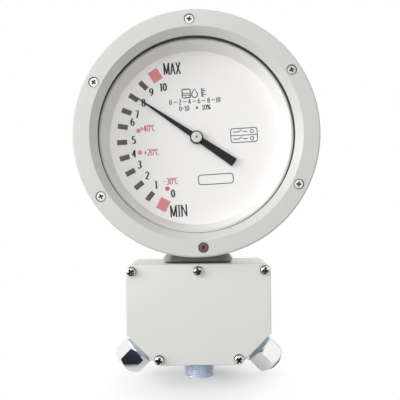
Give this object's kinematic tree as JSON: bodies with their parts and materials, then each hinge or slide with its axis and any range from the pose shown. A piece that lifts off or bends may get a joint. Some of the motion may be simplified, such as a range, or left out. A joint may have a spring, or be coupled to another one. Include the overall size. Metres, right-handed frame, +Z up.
{
  "type": "tank level gauge",
  "caption": "Flange-mounted dial level gauge for an oil tank: round glazed head with a pointer driven through magnets and bevel gears, and a terminal box with cable glands below.",
  "frame": {"origin": "on the dial axis, in the rear face of the mounting flange, which lies against the tank", "axes": "+Y out of the mounting face into the tank, so the dial faces -Y; +Z up; +X to the right as the dial is read"},
  "size_m": [0.253, 0.1976, 0.3855],
  "materials": {
    "grey_paint": "satin",
    "inner_paint": "matte",
    "dial_white": "satin",
    "mark_print": "matte",
    "limit_print": "matte",
    "bright_screw": "polished",
    "spring_steel": "satin",
    "steel": "satin",
    "gear_steel": "satin",
    "black_rubber": "matte",
    "window_glass": "polished",
    "reed_glass": "polished",
    "pointer_paint": "satin",
    "brass": "satin",
    "ferrite": "matte",
    "raw_aluminium": "satin",
    "black_plastic": "matte",
    "zinc_plate": "satin",
    "chrome_plate": "polished"
  },
  "bodies": {
    "gauge_body": {"bezel_gasket": "black_rubber", "bezel_ring": "grey_paint", "bezel_screws": "bright_screw", "box_cover": "grey_paint", "carrier_screws": "steel", "conduit_nipple": "zinc_plate", "cover_flat_washers": "bright_screw", "cover_gasket": "black_rubber", "cover_screws": "bright_screw", "cover_spring_washers": "spring_steel", "cross_bushes": "brass", "dial_limit_marks": "limit_print", "dial_plate": "dial_white", "dial_scale_marks": "mark_print", "drive_bushes": "brass", "flange_seal": "black_rubber", "gear_carrier": "raw_aluminium", "gland_washers": "black_rubber", "high_reed_switch": "reed_glass", "housing": "grey_paint", "left_gland_body": "zinc_plate", "left_gland_nut": "chrome_plate", "left_gland_seal": "black_rubber", "low_reed_switch": "reed_glass", "movement_plate": "raw_aluminium", "movement_posts": "brass", "movement_screws": "steel", "neck_gasket": "black_rubber", "neck_screws": "steel", "nipple_locknut": "zinc_plate", "pivot_bush": "brass", "plate_bush": "brass", "rear_glass_seal": "black_rubber", "reed_clips": "black_plastic", "right_gland_body": "zinc_plate", "right_gland_nut": "chrome_plate", "right_gland_seal": "black_rubber", "spacer_ring": "inner_paint", "terminal_box": "grey_paint", "terminal_links": "brass", "terminal_screws": "steel", "terminal_strip": "black_plastic", "window_glass": "window_glass"},
    "pointer_assembly": {"pointer": "pointer_paint", "pointer_cap": "bright_screw", "pointer_spindle": "steel", "follower_hub": "brass", "follower_magnet": "ferrite", "high_switch_arm": "raw_aluminium", "low_switch_arm": "raw_aluminium", "switch_magnets": "steel"},
    "drive_assembly": {"drive_shaft": "steel", "drive_hub": "steel", "drive_magnet": "ferrite", "bevel_pinion": "gear_steel"},
    "arm_assembly": {"bevel_gear": "gear_steel", "cross_shaft": "steel", "shaft_collar": "steel", "arm_hub": "gear_steel"}
  },
  "joints": [
    {"name": "arm_swing", "type": "hinge", "parent": "gauge_body", "child": "arm_assembly", "pos_m": [0, 0.059, 0], "axis": [1, 0, 0], "range_deg": [-48.6, 11.4]},
    {"name": "drive_turn", "type": "hinge", "parent": "gauge_body", "child": "drive_assembly", "pos_m": [0, 0, 0], "axis": [0, 1, 0], "range_deg": [-97.2, 22.8]},
    {"name": "pointer_turn", "type": "hinge", "parent": "gauge_body", "child": "pointer_assembly", "pos_m": [0, -0.078, 0], "axis": [0, 1, 0], "range_deg": [-97.2, 22.8]}
  ],
  "couplings": [
    {"joint": "drive_turn", "follows": "arm_swing", "ratio": 2},
    {"joint": "pointer_turn", "follows": "arm_swing", "ratio": 2}
  ]
}
